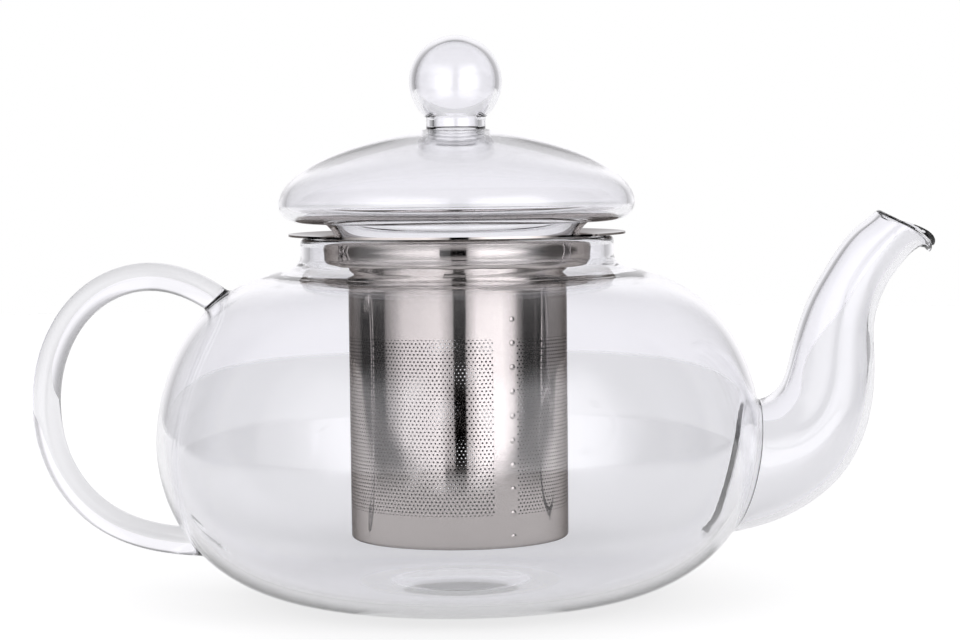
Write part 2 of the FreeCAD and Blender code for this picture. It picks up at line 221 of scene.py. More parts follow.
TABLE_AROUND = 128
TABLE_FADE_FROM = 745      # from here out the table thins away
TABLE_BEHIND = 516         # of the table's middle behind the pot's axis
PAPER_GLOW = 0.47          # light that the table's paper gives off, and more of it towards the eye
PAPER_LIFT = 0.24
PAPER_DIM_FROM = 190       # to either side of the pot, where painted shade starts on the table, seen in mirrors and through glass
PAPER_DIM_TO = 360
PAPER_DIM = 0.16           # of its brightness left out there under the painted shade
STAND_WIDTH = 205          # of the camera's dark stand
STAND_MIDDLE = -52
STAND_FRONT = -600
STAND_TOP = -31
STAND_HEIGHT = 400
CAMERA_PLACE = (0, -752, 110)
CAMERA_TURN = math.radians(0.4033), math.radians(-3.2363), math.radians(0.6)     # yaw, pitch, roll
CAMERA_SENSOR = 36
CAMERA_LENS = 117.72
LIGHT_BOUNCES = 24


# --- outlines and curves
def bezier(a, b, c, d, steps):
    t = np.linspace(0, 1, steps + 1)[:, None]
    a, b, c, d = (np.array(p, float) for p in (a, b, c, d))
    return a * (1 - t) ** 3 + 3 * b * t * (1 - t) ** 2 + 3 * c * t ** 2 * (1 - t) + d * t ** 3


def arc(centre, radius, start, end, steps):
    """Points on a circle, from start to end degrees."""
    a = np.radians(np.linspace(start, end, steps + 1))
    return np.stack([centre[0] + radius * np.cos(a), centre[1] + radius * np.sin(a)], 1)


def straight(a, b, steps):
    return np.linspace(np.array(a, float), np.array(b, float), steps + 1)


def joined(*runs):
    """Runs of points end to end, with each shared end kept once."""
    kept = [runs[0][0]]
    for run in runs:
        kept += [p for p in run if np.linalg.norm(p - kept[-1]) > 1e-6]
    return np.array(kept)


def smooth_curve(points):
    """A curve with free ends through rows of numbers, as a function of the place from 0 to 1."""
    p = np.array(points, float)
    knots = np.concatenate([[0], np.cumsum(np.linalg.norm(np.diff(p[:, :2], axis=0), axis=1))])
    knots /= knots[-1]
    gap = np.diff(knots)
    n = len(p)
    system = np.eye(n)
    right = np.zeros_like(p)
    for i in range(1, n - 1):
        system[i, i - 1:i + 2] = gap[i - 1], 2 * (gap[i - 1] + gap[i]), gap[i]
        right[i] = 6 * ((p[i + 1] - p[i]) / gap[i] - (p[i] - p[i - 1]) / gap[i - 1])
    bend = np.linalg.solve(system, right)

    def read(at):
        at = np.asarray(at, float)
        i = np.clip(np.searchsorted(knots, at, side="right") - 1, 0, n - 2)
        h = gap[i][..., None]
        b = ((at - knots[i])[..., None]) / h
        a = 1 - b
        return a * p[i] + b * p[i + 1] + ((a ** 3 - a) * bend[i] + (b ** 3 - b) * bend[i + 1]) * h * h / 6

    return read


# --- meshes
def make_piece(name, points, faces, material):
    """A smooth-shaded object at the origin from points in millimetres."""
    mesh = bpy.data.meshes.new(name)
    mesh.from_pydata([tuple(p) for p in np.asarray(points) * MM], [], [tuple(f) for f in faces])
    mesh.validate()
    work = bmesh.new()
    work.from_mesh(mesh)
    bmesh.ops.remove_doubles(work, verts=work.verts, dist=1e-7)
    bmesh.ops.recalc_face_normals(work, faces=work.faces)
    work.to_mesh(mesh)
    work.free()
    mesh.polygons.foreach_set("use_smooth", [True] * len(mesh.polygons))
    mesh.materials.append(material)
    piece = bpy.data.objects.new(name, mesh)
    bpy.context.scene.collection.objects.link(piece)
    return piece


def turned(profile, around):
    """Points and faces of a closed outline of (radius, height) turned about the Z axis."""
    profile = np.asarray(profile, float)
    a = np.arange(around) * FULL_TURN / around
    points = np.stack([profile[:, 0, None] * np.cos(a), profile[:, 0, None] * np.sin(a),
                       np.repeat(profile[:, 1, None], around, 1)], 2).reshape(-1, 3)
    faces = []
    for i in range(len(profile) - 1):
        on_axis = profile[i, 0] < 1e-9, profile[i + 1, 0] < 1e-9
        for j in range(around):
            k = (j + 1) % around
            near, far = i * around, (i + 1) * around
            if on_axis[0]:
                faces.append((near, far + k, far + j))
            elif on_axis[1]:
                faces.append((near + j, near + k, far))
            else:
                faces.append((near + j, near + k, far + k, far + j))
    return points, faces


# --- the bowl's two surfaces, and the holes where spout and handle join
def bowl_side(inset, floor):
    """One surface of the bowl, from the axis under it out and up to the shoulder's end."""
    foot = np.array((FOOT_RADIUS, floor))
    belly = np.array((BOWL_RADIUS - inset, BELLY_HEIGHT))
    end = np.array((SHOULDER_END[0] - inset * math.sin(SHOULDER_SLOPE),
                    SHOULDER_END[1] - inset * math.cos(SHOULDER_SLOPE)))
    under = (foot[0] + (belly[0] - foot[0]) * UNDERSIDE_FULLNESS, foot[1])
    lower = (belly[0], belly[1] - (belly[1] - foot[1]) * LOWER_SIDE_FULLNESS)
    upper = (belly[0], belly[1] + (end[1] - belly[1]) * UPPER_SIDE_FULLNESS)
    run = (belly[0] - end[0]) * SHOULDER_FULLNESS
    shoulder = (end[0] + run * math.cos(SHOULDER_SLOPE), end[1] - run * math.sin(SHOULDER_SLOPE))
    middle = PUNT_RISE + floor
    if floor:
        base = bezier((0, middle), (FOOT_RADIUS / 2, middle), (FOOT_RADIUS * PUNT_FLATNESS, floor), foot, 14)
    else:
        punt = bezier((0, middle), (PUNT_RADIUS / 2, middle), (PUNT_RADIUS * PUNT_FLATNESS, 0),
                      (PUNT_RADIUS, 0), 12)
        base = joined(punt, straight((PUNT_RADIUS, 0), foot, 4))
    return joined(base, bezier(foot, under, lower, belly, 46), bezier(belly, upper, shoulder, end, 46))


def neck_runs():
    """Outside of the weld ring and neck, over the rim, and down inside to the shoulder."""
    end = np.array(SHOULDER_END)
    end_in = bowl_side(BOWL_WALL, FLOOR_WALL)[-1]
    top = (NECK_RADIUS, SHOULDER_END[1] + NECK_WELD_RISE)
    run = NECK_WELD_REACH * NECK_WELD_SWEEP
    sweep = bezier(end, end + run * np.array((-math.cos(SHOULDER_SLOPE), math.sin(SHOULDER_SLOPE))),
                   (NECK_RADIUS, top[1] - NECK_WELD_RISE * NECK_WELD_HOLLOW), top, 16)
    half = NECK_WALL / 2
    rim = arc((NECK_RADIUS - half, NECK_HEIGHT - half), half, 0, 180, 12)
    inside = bezier((NECK_BORE, top[1]), (NECK_BORE, end_in[1] + NECK_WELD_BULGE),
                    end_in - (run, 0), end_in, 16)
    return joined(sweep, straight(top, rim[0], 3), rim, straight(rim[-1], (NECK_BORE, top[1]), 3), inside)


# --- shapes that grow out of the bowl
def inside(outline, p):
    """Whether points are inside an outline of (radius, height) that is closed along the axis."""
    r = np.hypot(p[:, 0], p[:, 1])
    z = p[:, 2]
    corners = np.vstack([outline, [(0, outline[-1][1])]])
    found = np.zeros(len(p), bool)
    for (r0, z0), (r1, z1) in zip(corners, np.roll(corners, -1, 0)):
        if z0 != z1:
            found ^= ((z0 > z) != (z1 > z)) & (r < r0 + (z - z0) / (z1 - z0) * (r1 - r0))
    return found


def crossing(at, theta, outline, within, beyond, grow=0.0):
    """For each line along a tube, the place where it leaves the outline, found by halving."""
    low = np.full(len(theta), float(within))
    high = np.full(len(theta), float(beyond))
    for _ in range(36):
        middle = (low + high) / 2
        held = inside(outline, at(middle, theta, grow))
        low = np.where(held, middle, low)
        high = np.where(held, high, middle)
    return (low + high) / 2


def in_loop(place, loop):
    """Whether a flat point is inside a closed loop of them."""
    x, y = place
    found = False
    for (x0, y0), (x1, y1) in zip(loop, np.roll(loop, -1, 0)):
        if (y0 > y) != (y1 > y) and x < x0 + (y - y0) / (y1 - y0) * (x1 - x0):
            found = not found
    return found


class BlownBody:
    """A turned glass shell that tubes can be fused to, each through a hole along a loop of points."""

    def __init__(self, profile, around):
        points, faces = turned(profile, around)
        self.profile = profile
        self.around = around
        self.points = list(points)
        self.grid = {divmod(n, around): face for n, face in enumerate(faces)}
        self.patches = []
        self.along = np.concatenate([[0], np.cumsum(np.hypot(*np.diff(profile, axis=0).T))])

    def unrolled(self, p):
        """Where a point of the shell is on the unrolled outline: around, and along it."""
        a, b = self.profile[:-1], self.profile[1:]
        d = b - a
        off = np.array((math.hypot(p[0], p[1]), p[2])) - a
        t = np.clip((off * d).sum(1) / (d ** 2).sum(1), 0, 1)
        i = int(((off - t[:, None] * d) ** 2).sum(1).argmin())
        return math.atan2(p[1], p[0]) % FULL_TURN * BOWL_RADIUS, self.along[i] + t[i] * math.hypot(*d[i])

    def open_hole(self, loop):
        """Cuts a hole along a loop, fills up to it with triangles, and gives the loop's point numbers."""
        flat = np.array([self.unrolled(p) for p in loop])
        sheet = FULL_TURN * BOWL_RADIUS
        if np.ptp(flat[:, 0]) > sheet / 2:
            flat[flat[:, 0] > sheet / 2, 0] -= sheet
        column = sheet / self.around
        left = math.floor(flat[:, 0].min() / column) - 1
        right = math.ceil(flat[:, 0].max() / column) + 1
        low = int(np.searchsorted(self.along, flat[:, 1].min())) - 2
        high = int(np.searchsorted(self.along, flat[:, 1].max())) + 1
        border = [(low, j) for j in range(left, right)] + [(i, right) for i in range(low, high)]
        border += [(high, j) for j in range(right, left, -1)] + [(i, left) for i in range(high, low, -1)]
        keys = list(border)
        for i in range(low + 1, high):
            for j in range(left + 1, right):
                place = np.array((j * column, self.along[i]))
                clear = np.hypot(*(flat - place).T).min()
                if not in_loop(place, flat) and clear > column * HOLE_CLEARANCE:
                    keys.append((i, j))
        places = [(j * column, self.along[i]) for i, j in keys] + [tuple(p) for p in flat]
        numbers = [i * self.around + j % self.around for i, j in keys]
        loop_numbers = list(range(len(self.points), len(self.points) + len(loop)))
        self.points += list(loop)
        numbers += loop_numbers
        edges = [(k, (k + 1) % len(border)) for k in range(len(border))]
        edges += [(len(keys) + k, len(keys) + (k + 1) % len(loop)) for k in range(len(loop))]
        found, _, triangles, sources, _, _ = delaunay_2d_cdt([Vector(p) for p in places], edges, [], 0, 1e-6)
        for i in range(low, high):
            for j in range(left, right):
                self.grid.pop((i, j % self.around))
        for triangle in triangles:
            middle = sum((found[k] for k in triangle), Vector((0, 0))) / 3
            if not in_loop(middle, flat):
                self.patches.append([numbers[sources[k][0]] for k in triangle])
        return loop_numbers

    def skin(self, first, rings, last=None):
        """Faces from the loop numbered first, over rings of points, and on to the loop numbered last."""
        before = first
        steps = []
        for ring in rings:
            steps.append(list(range(len(self.points), len(self.points) + len(ring))))
            self.points += list(ring)
        if last is not None:
            steps.append(last)
        for after in steps:
            for k in range(len(before)):
                n = (k + 1) % len(before)
                self.patches.append([before[k], before[n], after[n], after[k]])
            before = after

    def finish(self, name, material):
        return make_piece(name, weld_ripples(self.points), list(self.grid.values()) + self.patches, material)


def weld_ripples(points):
    """The ring where the neck was fused on by hand: low beads around it, and an uneven drift."""
    p = np.array(points)
    theta, radius, z = np.arctan2(p[:, 1], p[:, 0]), np.hypot(p[:, 0], p[:, 1]), p[:, 2]
    share = np.clip(1 - np.abs(z - WELD_MIDDLE) / WELD_SPREAD, 0, 1)
    share *= np.clip((WELD_OUTER - radius) / 2, 0, 1)
    share = share * share * (3 - 2 * share)
    beads = np.sin(FULL_TURN * z / BEAD_PITCH + BEAD_SWAY * np.sin(3 * theta + 0.6))
    drift = sum(part * np.sin(waves * theta + turn * z + start) for waves, turn, start, part in DRIFT_WAVES)
    scale = 1 + share * (BEAD_HEIGHT * beads + DRIFT_HEIGHT * drift) / np.maximum(radius, 1)
    return p * np.stack([scale, scale, np.ones_like(scale)], 1)


def fillet(outer, corner, onto, steps):
    """Rings of a round inner corner, from one ring through the corner's ring to another."""
    t = np.linspace(0, 1, steps + 1)[1:]
    return [outer * (1 - k) ** 2 + 2 * corner * k * (1 - k) + onto * k * k for k in t]


def spout_side(rows):
    """A surface of the spout: point for a place along it, an angle around it, and a growth in radius."""
    curve = smooth_curve(rows)

    def at(place, theta, grow=0.0):
        c = curve(place)
        half = np.hypot(c[:, 2], c[:, 3])
        up = c[:, 2:4] / half[:, None]
        facing = np.stack([up[:, 1], -up[:, 0]], 1)
        lower = (1 - np.cos(theta)) / 2
        ramp = np.clip((place - LIP_FROM) / (1 - LIP_FROM), 0, 1) ** 2
        bulge = ramp * np.abs(np.sin(theta)) * (MOUTH_BULGE + LIP_BULGE * lower)
        flat = c[:, :2] + up * ((half + grow) * np.cos(theta))[:, None] + facing * bulge[:, None]
        return np.stack([flat[:, 0], (c[:, 4] + grow) * np.sin(theta), flat[:, 1]], 1)

    return at


def spout_rows(wall):
    """Centre, half height as a vector, and half width of the spout's sections, inside by wall."""
    rows = []
    for x, z, tilt, radius in SPOUT_SECTIONS:
        a = math.radians(tilt)
        rows.append((x, z, -(radius - wall) * math.sin(a), (radius - wall) * math.cos(a), radius - wall))
    for ux, uz, lx, lz, width in (LIP_INSIDE if wall else LIP_OUTSIDE):
        rows.append(((ux + lx) / 2, (uz + lz) / 2, (ux - lx) / 2, (uz - lz) / 2, width))
    return rows


def add_spout(body, outer, inner):
    """Outside of the spout, its lip, and its bore back down, from a hole in each of the bowl's surfaces."""
    theta = np.arange(SPOUT_AROUND) * FULL_TURN / SPOUT_AROUND
    outside = spout_side(spout_rows(0))
    bore = spout_side(spout_rows(SPOUT_WALL))
    root = crossing(outside, theta, outer, 0, SPOUT_ROOT_BEFORE)
    loop = outside(crossing(outside, theta, outer, 0, SPOUT_ROOT_BEFORE, SPOUT_FILLET), theta, SPOUT_FILLET)
    loop_numbers = body.open_hole(loop)
    start = root + SPOUT_FILLET / SPOUT_LENGTH
    rings = fillet(loop, outside(root, theta), outside(start, theta), 6)
    rings += [outside(start + (1 - start) * k, theta) for k in np.linspace(0, 1, 84)[1:]]
    lip_out = rings[-1]
    lip_in = bore(np.ones(SPOUT_AROUND), theta)
    across = (lip_out - lip_in) / 2
    tangent = np.roll(lip_out, -1, 0) - np.roll(lip_out, 1, 0)
    crest = np.cross(across, tangent)
    crest *= (np.linalg.norm(across, axis=1) / np.linalg.norm(crest, axis=1))[:, None]
    for a in np.radians(np.linspace(0, 180, 9))[1:]:
        rings.append((lip_out + lip_in) / 2 + across * math.cos(a) + crest * math.sin(a))
    bore_root = crossing(bore, theta, inner, 0, BORE_ROOT_BEFORE)
    rounding = SPOUT_FILLET + SPOUT_WALL
    bore_start = bore_root + rounding / SPOUT_LENGTH
    bore_loop = bore(crossing(bore, theta, inner, 0, BORE_ROOT_BEFORE, rounding), theta, rounding)
    rings += [bore(bore_start + (1 - bore_start) * k, theta) for k in np.linspace(1, 0, 76)[1:]]
    rings += fillet(rings[-1], bore(bore_root, theta), bore_loop, 8)[:-1]
    body.skin(loop_numbers, rings, body.open_hole(bore_loop))


def handle_side():
    """The handle's surface: point for a place along it, an angle around it, and a growth in radius."""
    curve = smooth_curve(HANDLE_PATH)

    def at(place, theta, grow=0.0):
        c = curve(place)
        way = curve(place + 1e-4) - curve(place - 1e-4)
        way /= np.hypot(way[:, 0], way[:, 1])[:, None]
        out = np.stack([-way[:, 1], way[:, 0]], 1)
        r = HANDLE_RADIUS + grow
        flat = c + out * (r * np.cos(theta))[:, None]
        return np.stack([flat[:, 0], r * np.sin(theta), flat[:, 1]], 1)

    return at


def add_handle(body, outer):
    """The bent rod, with a fillet where each end is fused to the bowl."""
    theta = np.arange(HANDLE_AROUND) * FULL_TURN / HANDLE_AROUND
    rod = handle_side()
    ends = []
    for within, beyond in ((0.0, HANDLE_ROOT_WITHIN), (1.0, 1 - HANDLE_ROOT_WITHIN)):
        root = crossing(rod, theta, outer, within, beyond)
        loop = rod(crossing(rod, theta, outer, within, beyond, HANDLE_FILLET), theta, HANDLE_FILLET)
        start = root + (beyond - within) / abs(beyond - within) * HANDLE_FILLET / HANDLE_LENGTH
        ends.append((body.open_hole(loop), start, loop, rod(root, theta)))
    (top, start, top_loop, top_corner), (foot, stop, foot_loop, foot_corner) = ends
    rings = fillet(top_loop, top_corner, rod(start, theta), 5)
    rings += [rod(start + (stop - start) * k, theta) for k in np.linspace(0, 1, 150)[1:]]
    rings += fillet(rings[-1], foot_corner, foot_loop, 5)[:-1]
    body.skin(top, rings, foot)


def make_pot(material):
    """Bowl, neck, spout and handle, fused into one piece of glass."""
    outer = bowl_side(0, 0)
    inner = bowl_side(BOWL_WALL, FLOOR_WALL)
    body = BlownBody(joined(outer, neck_runs(), inner[::-1]), BOWL_AROUND)
    add_spout(body, outer, inner)
    add_handle(body, outer)
    piece = body.finish("pot_glass", material)
    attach(piece, "pot")
    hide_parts("bowl", "neck_weld", "neck", "spout", "spout_weld",
                "handle", "handle_weld_upper", "handle_weld_lower")


# --- lid
def lid_runs(inset):
    """One surface of the lid's dome, and the turn of its rim to the skirt."""
    neck = (KNOB_NECK_RADIUS - inset, LID_TOP_HEIGHT - inset)
    widest = (LID_RADIUS - inset, LID_RIM_HEIGHT)
    under = (LID_RADIUS - LID_TURN_UNDER, LID_UNDER_HEIGHT + inset)
    drop = neck[1] - widest[1]
    dome = bezier(neck, (neck[0] + (widest[0] - neck[0]) * LID_TOP_REACH, neck[1] - drop * LID_TOP_DROP),
                  (widest[0], widest[1] + drop * LID_SIDE_FULLNESS), widest, 40)
    rim = bezier(widest, (widest[0], widest[1] - (widest[1] - under[1]) * LID_RIM_FULLNESS),
                 (under[0] + (widest[0] - under[0]) * LID_UNDER_FULLNESS, under[1]), under, 16)
    return dome, rim


def skirt_side(inset):
    """One surface of the skirt, from under the dome down through its waist to its foot."""
    waist = SKIRT_WAIST_RADIUS - inset
    middle = (SKIRT_WAIST_HEIGHT + SKIRT_FOOT_HEIGHT) / 2
    top = (SKIRT_TOP_RADIUS, LID_UNDER_HEIGHT + (LID_WALL if inset else 0))
    foot = (SKIRT_FOOT_RADIUS - inset, SKIRT_FOOT_HEIGHT)
    return bezier(top, (waist, SKIRT_WAIST_HEIGHT + inset), (waist, middle), foot, 20)


def make_lid(material):
    """Knob, dome and skirt, fused into one piece of glass."""
    dome, rim = lid_runs(0)
    dome_in, rim_in = lid_runs(LID_WALL)
    seat = math.sqrt(KNOB_RADIUS ** 2 - KNOB_NECK_RADIUS ** 2)
    centre = (0, LID_TOP_HEIGHT + KNOB_NECK_HEIGHT + seat)
    bore = KNOB_NECK_RADIUS - LID_WALL
    ball_from = math.degrees(math.asin(-seat / KNOB_RADIUS))
    hollow = KNOB_RADIUS - KNOB_WALL
    hollow_from = math.degrees(math.acos(bore / hollow))
    ball = arc(centre, KNOB_RADIUS, 90, ball_from, 40)
    cavity = arc(centre, hollow, -hollow_from, 90, 36)
    skirt = skirt_side(0)
    skirt_in = skirt_side(SKIRT_WALL)
    outline = joined(ball, straight((KNOB_NECK_RADIUS, centre[1] - seat), dome[0], 4), dome, rim,
                     straight(rim[-1], skirt[0], 3), skirt, straight(skirt[-1], skirt_in[-1], 2),
                     skirt_in[::-1], straight(skirt_in[0], rim_in[-1], 3), rim_in[::-1], dome_in[::-1],
                     straight(dome_in[0], cavity[0], 4), cavity)
    points, faces = turned(outline, LID_AROUND)
    piece = make_piece("lid_glass", points, faces, material)
    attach(piece, "lid")
    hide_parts("lid_dome", "lid_skirt", "lid_knob")


# --- infuser
def rounded(corners, radii, steps=6):
    """Straight runs from corner to corner, each inner corner turned on its own radius."""
    p = np.array(corners, float)
    runs = []
    last = p[0]
    for before, corner, after, radius in zip(p, p[1:], p[2:], radii):
        back = (before - corner) / np.linalg.norm(before - corner)
        on = (after - corner) / np.linalg.norm(after - corner)
        half = math.acos(np.clip(back @ on, -1, 1)) / 2
        first, second = corner + back * radius / math.tan(half), corner + on * radius / math.tan(half)
        centre = corner + (back + on) / np.linalg.norm(back + on) * radius / math.sin(half)
        a, b = (np.degrees(np.arctan2(*(end - centre)[::-1])) for end in (first, second))
        b = a + (b - a + 180) % 360 - 180
        runs += [straight(last, first, 4), arc(centre, radius, a, b, steps)]
        last = second
    runs.append(straight(last, p[-1], 4))
    return joined(*runs)


def make_collar(material):
    """Flange, collar and ledge, pressed from one sheet."""
    t = STEEL_SHEET
    bend = COLLAR_BEND
    drop = (FLANGE_RADIUS - COLLAR_RADIUS) * FLANGE_DISH
    foot = COLLAR_RADIUS - COLLAR_TAPER
    outside = rounded([(FLANGE_RADIUS, FLANGE_HEIGHT - t), (COLLAR_RADIUS, FLANGE_HEIGHT - t - drop),
                       (foot, LEDGE_HEIGHT), (BASKET_RADIUS, LEDGE_HEIGHT)], [bend, bend])
    within = rounded([(FLANGE_RADIUS, FLANGE_HEIGHT),
                      (COLLAR_RADIUS - t, FLANGE_HEIGHT - drop - t * FLANGE_DISH),
                      (foot - t, LEDGE_HEIGHT + t), (BASKET_RADIUS, LEDGE_HEIGHT + t)], [bend + t, bend - t])
    points, faces = turned(joined(outside, within[::-1], outside[:1]), LID_AROUND)
    piece = make_piece("infuser_collar_steel", points, faces, material)
    piece.data.set_sharp_from_angle(angle=COLLAR_SHARP_FROM)
    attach(piece, "infuser")
    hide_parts("infuser_collar")


def new_sheet_tree(name, sizes):
    """An empty tree that makes a mesh, with a named input for each size, count and material."""
    tree = bpy.data.node_groups.new(name, "GeometryNodeTree")
    tree.interface.new_socket("Sheet", in_out="OUTPUT", socket_type="NodeSocketGeometry")
    for size, kind in sizes.items():
        tree.interface.new_socket(size, in_out="INPUT", socket_type=kind)
    return tree, add_node(tree, "NodeGroupInput").outputs


def add_cells(tree, given, pitch):
    """A six-sided cell of sheet, whole and with its hole, flat at the origin and facing up."""
    corner = add_node(tree, "Math", {"operation": "DIVIDE", 1: math.sqrt(3)}, {0: pitch})
    outline = add_node(tree, "GeometryNodeMeshCircle", {"Vertices": 6, "fill_type": "NGON"},
                       {"Radius": corner})
    whole = add_node(tree, "GeometryNodeTransform", {"Rotation": (0, 0, math.pi / 6)},
                     {"Geometry": outline})
    share = add_node(tree, "Math", {"operation": "DIVIDE"}, {0: given["Hole Radius"], 1: corner})
    inset = add_node(tree, "GeometryNodeExtrudeMesh", {"Offset Scale": 0.0}, {"Mesh": whole})
    shrunk = add_node(tree, "GeometryNodeScaleElements", {}, {
        "Geometry": inset.outputs["Mesh"], "Selection": inset.outputs["Top"], "Scale": share})
    holed = add_node(tree, "GeometryNodeDeleteGeometry", {"domain": "FACE"}, {
        "Geometry": shrunk, "Selection": inset.outputs["Top"]})
    return whole, holed


def add_staggered_rows(tree, columns, rows):
    """How many cells there are, and each one's row, column, and place along a row, odd rows being shifted."""
    count = add_node(tree, "Math", {"operation": "MULTIPLY"}, {0: columns, 1: rows})
    index = add_node(tree, "GeometryNodeInputIndex")
    column = add_node(tree, "Math", {"operation": "MODULO"}, {0: index, 1: columns})
    share = add_node(tree, "Math", {"operation": "DIVIDE"}, {0: index, 1: columns})
    row = add_node(tree, "Math", {"operation": "FLOOR"}, {0: share})
    odd = add_node(tree, "Math", {"operation": "MODULO", 1: 2.0}, {0: row})
    place = add_node(tree, "Math", {"operation": "MULTIPLY_ADD", 1: 0.5}, {0: odd, 2: column})
    return count, row, column, place


def add_sheet_wall(tree, given, cells):
    """Joins laid cells into one closed sheet with its thickness, gives its outer face its metal, and gives
    the inside and the holes' walls a darker metal, which is painted shade.
    """
    real = add_node(tree, "GeometryNodeRealizeInstances", {}, {"Geometry": cells})
    sheet = add_node(tree, "GeometryNodeMergeByDistance", {"Distance": CELL_MERGE * MM}, {"Geometry": real})
    thick = add_node(tree, "GeometryNodeExtrudeMesh", {"Individual": False}, {
        "Mesh": sheet, "Offset Scale": given["Thickness"]})
    front = add_node(tree, "GeometryNodeSetMaterial", {}, {
        "Geometry": thick.outputs["Mesh"], "Material": given["Metal"]})
    back = add_node(tree, "GeometryNodeFlipFaces", {}, {"Mesh": sheet})
    both = add_node(tree, "GeometryNodeJoinGeometry", {}, {"Geometry": front})
    tree.links.new(back.outputs[0], both.inputs[0])
    closed = add_node(tree, "GeometryNodeMergeByDistance", {"Distance": FACE_MERGE * MM}, {"Geometry": both})
    plain_mesh = add_node(tree, "GeometryNodeRealizeInstances", {}, {"Geometry": closed})
    # painted shade: every face but the outer one, that is the inside and the holes' walls, takes the darker
    # metal
    painted_shade_faces = add_node(tree, "Math", {"operation": "SUBTRACT", 0: 1.0})
    tree.links.new(thick.outputs["Top"], painted_shade_faces.inputs[1])
    inside_painted_shade = add_node(tree, "GeometryNodeSetMaterial", {}, {
        "Geometry": plain_mesh, "Selection": painted_shade_faces, "Material": given["Inside Metal With Painted Shade"]})
    add_node(tree, "NodeGroupOutput", {}, {"Sheet": inside_painted_shade})


def perforated_wall_tree():
    """Part of a rolled sheet: staggered rows of holes around a tube, with plain columns at its seam."""
    tree, given = new_sheet_tree("perforated_wall", {
        "Radius": "NodeSocketFloat", "Thickness": "NodeSocketFloat", "Hole Radius": "NodeSocketFloat",
        "Row Rise": "NodeSocketFloat", "First Row": "NodeSocketFloat", "First Angle": "NodeSocketFloat",
        "Columns Around": "NodeSocketInt", "Columns": "NodeSocketInt", "Plain Columns": "NodeSocketInt",
        "Rows": "NodeSocketInt", "Metal": "NodeSocketMaterial", "Inside Metal With Painted Shade": "NodeSocketMaterial"})
    step = add_node(tree, "Math", {"operation": "DIVIDE", 0: FULL_TURN}, {1: given["Columns Around"]})
    pitch = add_node(tree, "Math", {"operation": "MULTIPLY"}, {0: step, 1: given["Radius"]})
    whole, holed = add_cells(tree, given, pitch)
    count, row, column, place = add_staggered_rows(tree, given["Columns"], given["Rows"])
    angle = add_node(tree, "Math", {"operation": "MULTIPLY_ADD"}, {
        0: place, 1: step, 2: given["First Angle"]})
    height = add_node(tree, "Math", {"operation": "MULTIPLY_ADD"}, {
        0: row, 1: given["Row Rise"], 2: given["First Row"]})
    plain_part = add_node(tree, "Math", {"operation": "LESS_THAN"}, {0: column, 1: given["Plain Columns"]})
    holed_part = add_node(tree, "Math", {"operation": "SUBTRACT", 0: 1.0}, {1: plain_part})
    points = add_node(tree, "GeometryNodePoints", {}, {"Count": count})
    upright = add_node(tree, "CombineXYZ", {}, {"Z": height})
    places = add_node(tree, "GeometryNodeSetPosition", {}, {"Geometry": points, "Position": upright})
    turn = add_node(tree, "CombineXYZ", {}, {"Z": angle})
    rotation = add_node(tree, "FunctionNodeEulerToRotation", {}, {0: turn})
    # each flat cell is rolled onto the tube: its width runs around, its height up
    flat = add_node(tree, "SeparateXYZ", {}, {0: add_node(tree, "GeometryNodeInputPosition")})
    roll = add_node(tree, "Math", {"operation": "DIVIDE"}, {0: flat.outputs["X"], 1: given["Radius"]})
    cosine = add_node(tree, "Math", {"operation": "COSINE"}, {0: roll})
    sine = add_node(tree, "Math", {"operation": "SINE"}, {0: roll})
    out = add_node(tree, "Math", {"operation": "MULTIPLY"}, {0: cosine, 1: given["Radius"]})
    along = add_node(tree, "Math", {"operation": "MULTIPLY"}, {0: sine, 1: given["Radius"]})
    rolled = add_node(tree, "CombineXYZ", {}, {0: out, 1: along, 2: flat.outputs["Y"]})
    cells = add_node(tree, "GeometryNodeJoinGeometry")
    for cell, chosen in ((whole, plain_part), (holed, holed_part)):
        bent = add_node(tree, "GeometryNodeSetPosition", {}, {"Geometry": cell, "Position": rolled})
        laid = add_node(tree, "GeometryNodeInstanceOnPoints", {}, {
            "Points": places, "Selection": chosen, "Instance": bent,
            "Rotation": rotation})
        tree.links.new(laid.outputs[0], cells.inputs[0])
    add_sheet_wall(tree, given, cells)
    return tree


def perforated_floor_tree():
    """A flat disc of the same sheet: staggered rows of holes inside a circle."""
    tree, given = new_sheet_tree("perforated_floor", {
        "Disc Radius": "NodeSocketFloat", "Thickness": "NodeSocketFloat", "Hole Radius": "NodeSocketFloat",
        "Pitch": "NodeSocketFloat", "Height": "NodeSocketFloat", "Across": "NodeSocketInt",
        "Metal": "NodeSocketMaterial", "Inside Metal With Painted Shade": "NodeSocketMaterial"})
    _, holed = add_cells(tree, given, given["Pitch"])
    count, row, _, place = add_staggered_rows(tree, given["Across"], given["Across"])
    middle = add_node(tree, "Math", {"operation": "MULTIPLY", 1: 0.5}, {0: given["Across"]})
    x = add_node(tree, "Math", {"operation": "SUBTRACT"}, {0: place, 1: middle})
    y = add_node(tree, "Math", {"operation": "SUBTRACT"}, {0: row, 1: middle})
    closer = add_node(tree, "Math", {"operation": "MULTIPLY", 1: math.sqrt(3) / 2}, {0: y})
    grid = add_node(tree, "CombineXYZ", {}, {0: x, 1: closer})
    spread = add_node(tree, "VectorMath", {"operation": "SCALE"}, {0: grid, "Scale": given["Pitch"]})
    reach = add_node(tree, "VectorMath", {"operation": "LENGTH"}, {0: spread})
    kept = add_node(tree, "Math", {"operation": "LESS_THAN"}, {
        0: reach.outputs["Value"], 1: given["Disc Radius"]})
    level = add_node(tree, "CombineXYZ", {}, {2: given["Height"]})
    position = add_node(tree, "VectorMath", {"operation": "ADD"}, {0: spread, 1: level})
    points = add_node(tree, "GeometryNodePoints", {}, {"Count": count, "Position": position})
    laid = add_node(tree, "GeometryNodeInstanceOnPoints", {}, {
        "Points": points, "Selection": kept, "Instance": holed})
    add_sheet_wall(tree, given, laid)
    return tree


